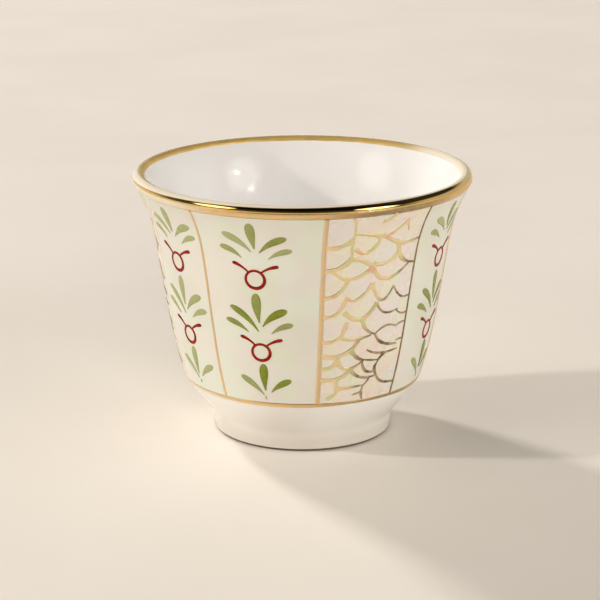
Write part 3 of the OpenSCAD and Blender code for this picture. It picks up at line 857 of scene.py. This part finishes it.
# Strokes: start, middle and end, each a share of the panel's width and of the painted height, then weight
stroke_shares = (
    (0, 0.85, 0.125, 0.84, 0.255, 0.88, 1),
    (0.255, 0.88, 0.255, 0.83, 0.275, 0.775, 0.8),
    (0.26, 0.885, 0.26, 0.945, 0.23, 1, 0.6),
    (0.265, 0.91, 0.385, 0.9, 0.51, 0.885, 0.7),
    (0.51, 0.885, 0.515, 0.85, 0.475, 0.83, 0.9),
    (0.29, 0.825, 0.385, 0.8, 0.48, 0.825, 0.8),
    (0.505, 0.89, 0.63, 0.89, 0.78, 0.955, 0.6),
    (0.545, 0.89, 0.62, 0.865, 0.735, 0.835, 0.9),
    (0.735, 0.835, 0.835, 0.825, 1, 0.84, 0.8),
    (0.51, 0.97, 0.565, 0.975, 0.62, 1.005, 0.8),
    (0.77, 0.96, 0.795, 0.925, 0.83, 0.895, 0.6),
    (0.745, 0.835, 0.815, 0.745, 1, 0.71, 1.2),
    (0.5, 0.74, 0.635, 0.735, 0.76, 0.78, 0.9),
    (0.275, 0.775, 0.4, 0.755, 0.505, 0.715, 1.1),
    (0, 0.72, 0.145, 0.73, 0.27, 0.78, 1.1),
    (0.09, 0.72, 0.27, 0.67, 0.495, 0.72, 0.9),
    (0.5, 0.715, 0.66, 0.65, 0.92, 0.715, 1),
    (0.505, 0.74, 0.49, 0.72, 0.505, 0.69, 0.9),
    (0, 0.575, 0.15, 0.595, 0.25, 0.67, 0.9),
    (0.235, 0.575, 0.365, 0.56, 0.505, 0.635, 0.8),
    (0.505, 0.635, 0.63, 0.54, 0.76, 0.605, 0.9),
    (0.76, 0.605, 0.875, 0.54, 1, 0.54, 0.9),
    (0, 0.48, 0.14, 0.485, 0.24, 0.565, 0.9),
    (0.23, 0.495, 0.42, 0.45, 0.58, 0.53, 1),
    (0.58, 0.53, 0.685, 0.47, 0.855, 0.475, 0.9),
    (0.84, 0.47, 0.92, 0.445, 1, 0.45, 0.8),
    (0, 0.345, 0.17, 0.35, 0.27, 0.44, 0.9),
    (0.2, 0.365, 0.37, 0.345, 0.555, 0.36, 1),
    (0.44, 0.45, 0.485, 0.395, 0.605, 0.36, 1),
    (0.605, 0.36, 0.73, 0.395, 0.875, 0.38, 0.9),
    (0.875, 0.385, 0.935, 0.395, 1, 0.395, 0.8),
    (0.605, 0.36, 0.71, 0.305, 0.91, 0.285, 1.2),
    (0.9, 0.3, 0.955, 0.305, 1, 0.305, 0.8),
    (0, 0.27, 0.245, 0.265, 0.43, 0.345, 1),
    (0.34, 0.285, 0.415, 0.245, 0.505, 0.225, 1.3),
    (0.525, 0.28, 0.7, 0.25, 0.94, 0.255, 1),
    (0.2, 0.27, 0.195, 0.245, 0.21, 0.215, 1.1),
    (0, 0.2, 0.125, 0.2, 0.195, 0.25, 1),
    (0.21, 0.215, 0.33, 0.185, 0.485, 0.22, 0.9),
    (0.485, 0.23, 0.58, 0.22, 0.68, 0.215, 0.8),
    (0.485, 0.225, 0.54, 0.165, 0.67, 0.155, 1.2),
    (0.835, 0.25, 0.735, 0.235, 0.675, 0.195, 1),
    (0.675, 0.195, 0.66, 0.165, 0.7, 0.13, 1.3),
    (0.7, 0.13, 0.8, 0.085, 0.995, 0.07, 1.2),
    (0.35, 0.18, 0.5, 0.13, 0.7, 0.13, 1.1),
    (0, 0.135, 0.215, 0.135, 0.35, 0.18, 1),
    (0.21, 0.135, 0.205, 0.1, 0.225, 0.07, 1),
    (0.225, 0.075, 0.385, 0.08, 0.555, 0.085, 0.9),
    (0.55, 0.085, 0.59, 0.105, 0.61, 0.125, 0.9),
    (0.22, 0.07, 0.185, 0.045, 0.11, 0.02, 0.9),
    (0.54, 0.085, 0.535, 0.04, 0.56, 0.005, 1.1),
    (0.42, 0.035, 0.48, 0.04, 0.535, 0.05, 0.8)
)

gold_lustre = Finish("gold_lustre", Metallic=0.8)
tan_gold = gold_lustre.patches(2.2 * mm, (0.97, 0.77, 0.46), (0.85, 0.79, 0.42), 0.4, 0.6, detail=1)
blushed = gold_lustre.patches(3.1 * mm, tan_gold, (0.95, 0.62, 0.38), 0.6, 0.7, detail=1)
# Brown, as thin gold and as painted shade
brown_shaded_gold = gold_lustre.patches(1.6 * mm, (0.24, 0.19, 0.1), (0.6, 0.45, 0.28))
gold_lustre.give("Base Color", gold_lustre.mixed(gold_lustre.read("bronze_and_painted_light"), blushed, brown_shaded_gold))
gold_lustre.rough(0.8 * mm, 0.3, 0.45)
gold_lustre.bump(0.35 * mm, 0.008 * mm, 3)


def browned_and_shaded(across, up):
    """How brown the gold is, as thin gold and painted shade: more so towards the right and the foot
    of the panel.
    """
    return eased(across - brown_slope * max(0, up - brown_foot_share), brown_start, brown_full)


def stroke_rows(i, shares, stem, steps=16):
    """Middle and half width across, all along a stroke that passes through its three places."""
    def place(across, up):
        left, right = edge_at(i, up), edge_at(i + 1, up)
        height = painted_h(up)
        return Vector((math.radians(left + across * (right - left) - stem) * side_at(height)[0].x, height))

    start, middle, end = (Vector(shares[k:k + 2]) for k in (0, 2, 4))
    pull = 2 * middle - (start + end) / 2
    fractions = [k / steps for k in range(steps + 1)]
    spots = [(1 - t) ** 2 * start + 2 * t * (1 - t) * pull + t * t * end for t in fractions]
    points = [place(*spot) for spot in spots]
    browns_and_shade = [browned_and_shaded(*spot) for spot in spots]
    rows = []
    for k, (t, point, brown) in enumerate(zip(fractions, points, browns_and_shade)):
        heading = (points[min(k + 1, steps)] - points[max(k - 1, 0)]).normalized()
        full = full_share + full_ends_share * abs(2 * t - 1) ** 3
        thin = thin_ends_share + (1 - thin_ends_share) * math.sin(math.pi * t)
        wave = 1 + wave_share * math.sin(9 * t + 40 * point.x / mm)
        half = stroke_w / 2 * shares[6] * wave * (full + (thin - full) * brown)
        rows.append((point, half * Vector((heading.y, -heading.x))))
    return rows, browns_and_shade


for number in range(1, repeats + 1):
    i = 3 * (number - 1)
    stem = (edge_at(i, 1 / 2) + edge_at(i + 1, 1 / 2)) / 2
    bm = bmesh.new()
    layer = bm.verts.layers.float.new("bronze_and_painted_light")
    for k, shares in enumerate(stroke_shares):
        rows, browns_and_shade = stroke_rows(i, shares, stem)
        points = laid(bm, stem, rows, ground_t, stroke_t * (1 + lift_share * k))
        for r, row in enumerate(points):
            for vertex in row:
                vertex[layer] = browns_and_shade[r % len(rows)]
    piece(f"gold_scales_{number}", bm, gold_lustre.material, "printed_gold", f"scale_net_{number}")

# Gilded lip
# Bright gold brushed over the lip while the cup turns on a wheel, then fired and burnished. It is a mirror
# on the roll of the lip and satin inside. Along the front half its top is painted pale cream, less
# metallic, as a painted reflection.

gilding_in_w = 0.33 * mm
gilding_lap = 0.05 * mm
gilding_waver = 0.05 * mm
gilding_edge_share = 1 / 8
lip_steps = 40
mirror_rough = 0.05
satin_rough = 0.5
# Angles over the roll of the lip, from its outermost point up and in, in degrees: where satin starts and
# is full, and where the streak of painted reflection starts and ends, how softly, and how far both shift
# to the right side
satin_start, satin_full = 75, 120
streak_start, streak_start_soft, streak_start_shift = 46, 12, 36
streak_end, streak_end_soft, streak_end_shift = 112, 16, 40
under_lip = -120
# Angles round the cup to which the streak reaches from the front on its left and right, and its soft end
streak_left, streak_right, streak_soft = 95, 120, 25

gilt = Finish("burnished_gold")
painted_reflection, satin = gilt.read("painted_reflection"), gilt.read("satin")
full_gold = gilt.mixed(
    gilt.spread(gilt.noise(5 * mm, 2, (1, 1, 4)), 0.35, 0.65),
    (0.88, 0.6, 0.19),
    (0.8, 0.55, 0.2)
)
# The streak along the top of the front lip is pale cream and less metallic: a painted reflection
metal = gilt.product(gilt.spread(painted_reflection, 0, 1, 1, 0.05), gilt.spread(satin, mirror_rough, satin_rough, 1, 0.5))
gilt.give("Base Color", gilt.mixed(painted_reflection, full_gold, (0.84, 0.75, 0.6)))
gilt.give("Metallic", metal)
gilt.give("Roughness", gilt.product(gilt.spread(gilt.noise(1.5 * mm, 3), 0.3, 0.7, 0.75, 1.25), satin))
gilt.bump(2.5 * mm, 0.02 * mm)

lip_run = joined([s for s in outside if s[0].y > band_low], lip, inside[:12])
lip_lengths = [0]
for (a, _), (b, _) in zip(lip_run, lip_run[1:]):
    lip_lengths.append(lip_lengths[-1] + (b - a).length)
lip_start = next(length for length, (p, _) in zip(lip_lengths, lip_run) if p.y > band_high - gilding_lap)
lip_end = lip_lengths[lip_run.index(lip[-1])] + gilding_in_w


def lip_outline(angle):
    """Section of the gilding, which rounds off at its inner edge."""
    end = lip_end + wavering(angle, 4, gilding_waver)
    surface, back = [], []
    for k in range(lip_steps + 1):
        point, direction = sampled(lip_run, lip_lengths, lip_start + (end - lip_start) * k / lip_steps)
        swell = min(1, math.sqrt((1 - k / lip_steps) / gilding_edge_share))
        height_share = mark_edge_share + (1 - mark_edge_share) * swell
        surface.append(point + height_share * gilding_t * outward(direction))
        back.append(point - sunk * outward(direction))
    return surface + back[::-1]


bm = turned(lip_outline, steps=360)
satin_layer, painted_reflection_layer = (bm.verts.layers.float.new(name) for name in ("satin", "painted_reflection"))
for vertex in bm.verts:
    out, up = math.hypot(vertex.co.x, vertex.co.y) - lip_mid.x, vertex.co.z - lip_mid.y
    over = math.degrees(math.atan2(up, out))
    over = over + 360 if over < under_lip else over
    angle = turned_to(vertex.co)
    drift = min(max(angle / 90, -1), 1)
    reach = streak_left if angle < 0 else streak_right
    start = streak_start + streak_start_shift * drift
    end = streak_end + streak_end_shift * (drift + max(drift, 0))
    in_front = 1 - eased(abs(angle), reach, reach + streak_soft)
    reflected_streak = eased(over, start, start + streak_start_soft) * (1 - eased(over, end, end + streak_end_soft))
    vertex[satin_layer] = mirror_rough + (satin_rough - mirror_rough) * eased(over, satin_start, satin_full)
    vertex[painted_reflection_layer] = in_front * reflected_streak
piece("gilded_lip", bm, gilt.material, "burnished_gold", "lip_gilding")

# Table, light and camera
# A plain pale table top. Two lamps on the left, beside and behind the cup, throw its shadows. Wide ones in
# front, low on the right and overhead fill them, and two small ones glint in the bowl. The room is bright
# behind the cup, has a window at each side in front of it, and is dark overhead.

table_size = 6
lamp_distance = 4
sun_white = (1, 0.97, 0.93)
glint_white = (1, 0.98, 0.95)
bpy.ops.mesh.primitive_plane_add(size=table_size)
table = bpy.context.object
table.name = "table"
table_top = Finish("pale_table", IOR=1.45, Roughness=0.6)
table_tones = table_top.patches(60 * mm, (0.875, 0.815, 0.74), (0.905, 0.845, 0.77), 0.3, 0.7, detail=3)
table_top.give("Base Color", table_tones)
table.data.materials.append(table_top.material)


def towards(azimuth, elevation):
    """Direction from the cup. Azimuth 0 is in front of it and 90 to its right."""
    turn, rise = math.radians(azimuth), math.radians(elevation)
    return Vector((math.sin(turn) * math.cos(rise), -math.cos(turn) * math.cos(rise), math.sin(rise)))


def lamp(name, azimuth, elevation, size, power, colour, glints=False):
    """A square lamp that faces the cup. Its glints are left out, as a diffuser would, unless asked for."""
    light = bpy.data.lights.new(name, "AREA")
    light.size = size
    light.energy = power
    light.color = colour
    place = towards(azimuth, elevation)
    made = bpy.data.objects.new(name, light)
    made.location = lamp_distance * place
    made.rotation_euler = place.to_track_quat("Z", "Y").to_euler()
    made.visible_glossy = glints
    bpy.context.scene.collection.objects.link(made)


lamp("left_lamp", -84, 24, 0.25, 72, sun_white)
lamp("back_lamp", -142, 30, 0.45, 87, sun_white)
lamp("front_lamp", 8, 25, 1.6, 52, (1, 0.95, 0.88))
lamp("right_lamp", 85, 13, 2, 36, (1, 0.96, 0.9))
lamp("ceiling_lamp", -100, 66, 2.5, 22, (1, 0.86, 0.7))
lamp("high_glint", 58, 23, 0.13, 3.5, glint_white, glints=True)
lamp("low_glint", 44.5, 12.3, 0.13, 5, glint_white, glints=True)

world = bpy.data.worlds.new("room")
world.use_nodes = True
bpy.context.scene.world = world
sky = world.node_tree
seen = sky.nodes.new("ShaderNodeTexCoord").outputs["Generated"]


def sky_node(kind, operation, *inputs):
    """Adds a node to the sky. Each input is a number, a vector or the output of another node."""
    node = sky.nodes.new(kind)
    node.operation = operation
    for socket, value in zip(node.inputs, inputs):
        if isinstance(value, bpy.types.NodeSocket):
            sky.links.new(value, socket)
        else:
            socket.default_value = value
    return node.outputs["Value"]


def seen_towards(azimuth, elevation):
    """How nearly the sky is seen in a direction: 1 straight at it, -1 straight away from it."""
    return sky_node("ShaderNodeVectorMath", "DOT_PRODUCT", seen, towards(azimuth, elevation))


window_edge = (0.955, 0.985)
horizon = ramp(sky, seen_towards(0, 90), 0.3, 0.5, 1, 0.05)
back_wall = ramp(sky, seen_towards(165, 0), -0.2, 0.4, 0.08, 0.6)
left_window = ramp(sky, seen_towards(-64, 24), *window_edge, 0, 2.5)
right_window = ramp(sky, seen_towards(52, 20), *window_edge, 0, 2.8)
windows = sky_node("ShaderNodeMath", "ADD", left_window, right_window)
walls = sky_node("ShaderNodeMath", "MULTIPLY", back_wall, horizon)
room_light = sky_node("ShaderNodeMath", "ADD", walls, windows)
sky.nodes["Background"].inputs["Color"].default_value = (1, 0.97, 0.92, 1)
sky.links.new(room_light, sky.nodes["Background"].inputs["Strength"])

aim = Vector((-0.33 * mm, 0, 25.27 * mm))
view_distance = 426.1 * mm
view_rise = math.radians(15.86)
view_roll = math.radians(0.09)
focal_pixels = 2181.7
image_pixels = 600
sensor = 36
camera = bpy.data.objects.new("camera", bpy.data.cameras.new("camera"))
camera.data.sensor_width = sensor
camera.data.lens = sensor * focal_pixels / image_pixels
camera.data.clip_start = 10 * mm
camera.location = aim + view_distance * Vector((0, -math.cos(view_rise), math.sin(view_rise)))
camera.rotation_euler = (math.pi / 2 - view_rise, view_roll, 0)
bpy.context.scene.collection.objects.link(camera)
bpy.context.scene.camera = camera
bpy.context.scene.view_settings.view_transform = "Standard"
